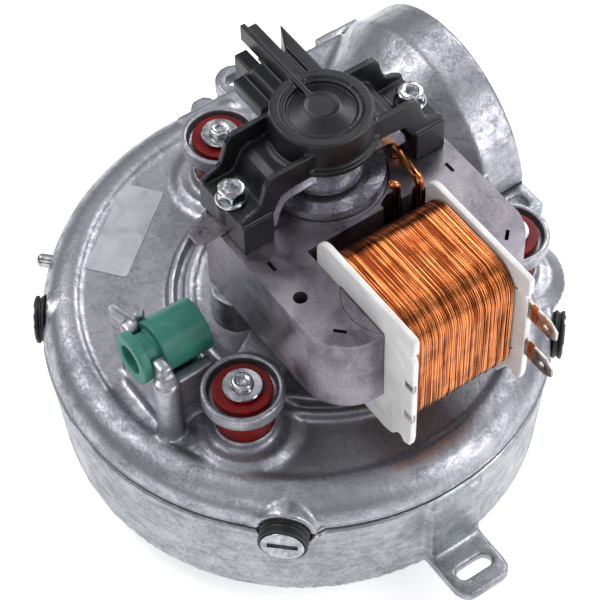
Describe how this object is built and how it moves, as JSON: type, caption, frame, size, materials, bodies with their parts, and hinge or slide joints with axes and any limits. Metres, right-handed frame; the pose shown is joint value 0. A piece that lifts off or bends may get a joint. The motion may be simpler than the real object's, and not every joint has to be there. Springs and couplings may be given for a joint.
{
  "type": "combustion fan",
  "caption": "Centrifugal combustion fan for a gas boiler: die-cast scroll casing with round outlet and slotted foot, and an open-frame shaded-pole motor on rubber mounts.",
  "frame": {"origin": "on the shaft axis, at the bottom face of the casing around the inlet", "axes": "+Z along the shaft from the inlet to the motor, +Y the way the outlet blows, +X from the shaft to the motor's coil"},
  "size_m": [0.1744, 0.1512, 0.1262],
  "materials": {
    "cast_upper": "matt die-cast",
    "cast_lower": "matt die-cast",
    "cast_bracket": "matt die-cast",
    "cast_bridge": "turned",
    "black_rubber": "satin",
    "bright_steel": "bright",
    "green_silicone": "satin",
    "red_silicone": "satin",
    "label_foil": "satin foil",
    "zinc_steel": "zinc plated",
    "sinter_bronze": "sintered",
    "sheet_steel": "rolled",
    "nylon_white": "moulded",
    "copper": "enamelled wire",
    "tin_brass": "tinned",
    "black_plastic": "satin",
    "board": "laminate",
    "shaft_steel": "ground",
    "cage_alu": "cast",
    "fibre": "fibre",
    "magnet": "bonded ferrite",
    "galvanised": "galvanised",
    "hub_brass": "turned"
  },
  "bodies": {
    "housing": {"upper_casing": "cast_upper", "lower_casing": "cast_lower", "casing_seal": "black_rubber", "clamp_rubbers": "black_rubber", "clamp_heads": "bright_steel", "rim_stud": "bright_steel", "pressure_tap": "green_silicone", "plate_label": "label_foil", "shaft_seal": "red_silicone", "motor_bracket": "cast_bracket", "mount_rubbers": "red_silicone", "mount_sleeves": "zinc_steel", "mount_screws": "zinc_steel", "lower_bearing": "sinter_bronze", "bearing_clip": "zinc_steel", "stator_laminations": "sheet_steel", "coil_core": "sheet_steel", "coil_bobbin": "nylon_white", "coil_winding": "copper", "coil_terminals": "tin_brass", "coil_leads": "copper", "shading_rings": "copper", "earth_tab": "sheet_steel", "bearing_bridge": "cast_bridge", "upper_bearing": "sinter_bronze", "sensor_cover": "black_plastic", "sensor_board": "board", "sensor_chip": "black_plastic", "connector_pins": "tin_brass", "motor_screws": "zinc_steel"},
    "rotor": {"shaft": "shaft_steel", "rotor_core": "sheet_steel", "rotor_cage": "cage_alu", "thrust_washers": "fibre", "tacho_magnet": "magnet", "impeller_plate": "galvanised", "impeller_blades": "galvanised", "impeller_ring": "galvanised", "impeller_hub": "hub_brass", "impeller_nut": "zinc_steel"}
  },
  "joints": [
    {"name": "rotor_spin", "type": "hinge", "parent": "housing", "child": "rotor", "pos_m": [0, 0, 0.055], "axis": [0, 0, 1], "continuous": true}
  ]
}
